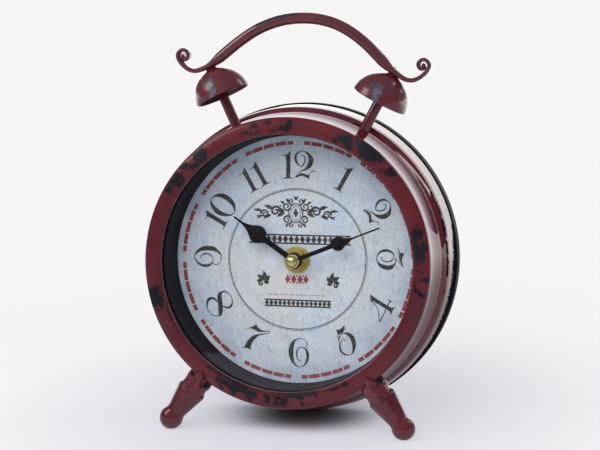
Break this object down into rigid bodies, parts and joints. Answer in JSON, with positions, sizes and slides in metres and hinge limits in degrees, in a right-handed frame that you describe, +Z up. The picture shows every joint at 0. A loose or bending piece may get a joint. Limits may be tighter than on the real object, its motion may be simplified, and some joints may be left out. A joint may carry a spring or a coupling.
{
  "type": "table clock",
  "caption": "Decorative table clock in the bell-alarm style: round painted case on ball feet, dummy bells, arched carrying handle with scroll ends, and a quartz movement that turns the hands.",
  "frame": {"origin": "on the surface the clock stands on, under the middle of its own box", "axes": "+X to the right seen from the front, +Y from the dial to the rear, +Z up; the case leans back about the X direction by 7.7 degrees"},
  "size_m": [0.174, 0.082, 0.2281],
  "materials": {
    "red_paint": "satin maroon paint, worn through to a near-black undercoat in patches",
    "black_paint": "smooth semi-gloss black",
    "brass": "bright, a little greenish",
    "steel": "zinc plated",
    "dial_card": "printed paper on card, pale blue-grey with an aged tone",
    "clear_glass": "clear flat pane",
    "black_plastic": "fine matt moulding",
    "black_rubber": "dull",
    "white_plastic": "natural moulded acetal",
    "battery_jacket": "plain printed sleeve on a steel can",
    "copper_wire": "enamelled wire",
    "board_laminate": "green laminate"
  },
  "bodies": {
    "case": {"battery": "battery_jacket", "bezel": "red_paint", "case_body": "red_paint", "circuit_board": "board_laminate", "coil": "copper_wire", "cover_screw_1": "steel", "cover_screw_2": "steel", "cover_screw_3": "steel", "cover_screw_4": "steel", "dial": "dial_card", "dial_nut": "brass", "dial_pan": "black_paint", "dial_washer": "brass", "front_glass": "clear_glass", "handle": "red_paint", "left_bell": "red_paint", "right_bell": "red_paint", "left_foot": "red_paint", "right_foot": "red_paint", "left_foot_screw": "steel", "right_foot_screw": "steel", "left_handle_screw": "red_paint", "right_handle_screw": "red_paint", "left_post": "red_paint", "right_post": "red_paint", "left_post_nut": "steel", "right_post_nut": "steel", "left_spacer": "red_paint", "right_spacer": "red_paint", "movement_front_shell": "black_plastic", "movement_rear_shell": "black_plastic", "negative_contact": "steel", "positive_contact": "steel", "rear_cover": "black_paint", "rubber_washer": "black_rubber", "stator": "steel", "threaded_bush": "brass"},
    "minute_group": {"minute_arbor": "white_plastic", "minute_hand": "black_paint", "cap_nut": "brass"},
    "hour_group": {"hour_wheel": "white_plastic", "hour_hand": "black_paint"},
    "motion_wheel": {"minute_wheel": "white_plastic"},
    "knob": {"setting_knob": "black_plastic"},
    "motor_rotor": {"rotor": "steel"},
    "step_gear": {"step_wheel": "white_plastic"},
    "seconds_gear": {"seconds_wheel": "white_plastic"},
    "third_gear": {"third_wheel": "white_plastic"},
    "centre_gear": {"centre_wheel": "white_plastic"}
  },
  "joints": [
    {"name": "minute_turn", "type": "hinge", "parent": "case", "child": "minute_group", "pos_m": [0, -0.02751, 0.09381], "axis": [0, 0.9911, -0.1334], "continuous": true},
    {"name": "hour_turn", "type": "hinge", "parent": "case", "child": "hour_group", "pos_m": [0, -0.02751, 0.09381], "axis": [0, 0.9911, -0.1334], "continuous": true},
    {"name": "minute_wheel_turn", "type": "hinge", "parent": "case", "child": "motion_wheel", "pos_m": [0.0072, -0.02751, 0.09381], "axis": [0, 0.9911, -0.1334], "continuous": true},
    {"name": "knob_turn", "type": "hinge", "parent": "case", "child": "knob", "pos_m": [0.0144, -0.02751, 0.09381], "axis": [0, 0.9911, -0.1334], "continuous": true},
    {"name": "rotor_turn", "type": "hinge", "parent": "case", "child": "motor_rotor", "pos_m": [0, -0.02619, 0.10365], "axis": [0, 0.9911, -0.1334], "continuous": true},
    {"name": "step_turn", "type": "hinge", "parent": "case", "child": "step_gear", "pos_m": [0, -0.02676, 0.09936], "axis": [0, 0.9911, -0.1334], "continuous": true},
    {"name": "seconds_turn", "type": "hinge", "parent": "case", "child": "seconds_gear", "pos_m": [0, -0.02751, 0.09381], "axis": [0, 0.9911, -0.1334], "continuous": true},
    {"name": "third_turn", "type": "hinge", "parent": "case", "child": "third_gear", "pos_m": [-0.00509, -0.02683, 0.09886], "axis": [0, 0.9911, -0.1334], "continuous": true},
    {"name": "centre_turn", "type": "hinge", "parent": "case", "child": "centre_gear", "pos_m": [0, -0.02751, 0.09381], "axis": [0, 0.9911, -0.1334], "continuous": true}
  ],
  "couplings": [
    {"joint": "hour_turn", "follows": "minute_turn", "ratio": 0.083333},
    {"joint": "minute_wheel_turn", "follows": "minute_turn", "ratio": -0.33333},
    {"joint": "knob_turn", "follows": "minute_turn", "ratio": 1},
    {"joint": "step_turn", "follows": "rotor_turn", "ratio": -0.2},
    {"joint": "seconds_turn", "follows": "rotor_turn", "ratio": 0.033333},
    {"joint": "third_turn", "follows": "rotor_turn", "ratio": -0.0044444},
    {"joint": "centre_turn", "follows": "rotor_turn", "ratio": 0.00055556}
  ]
}
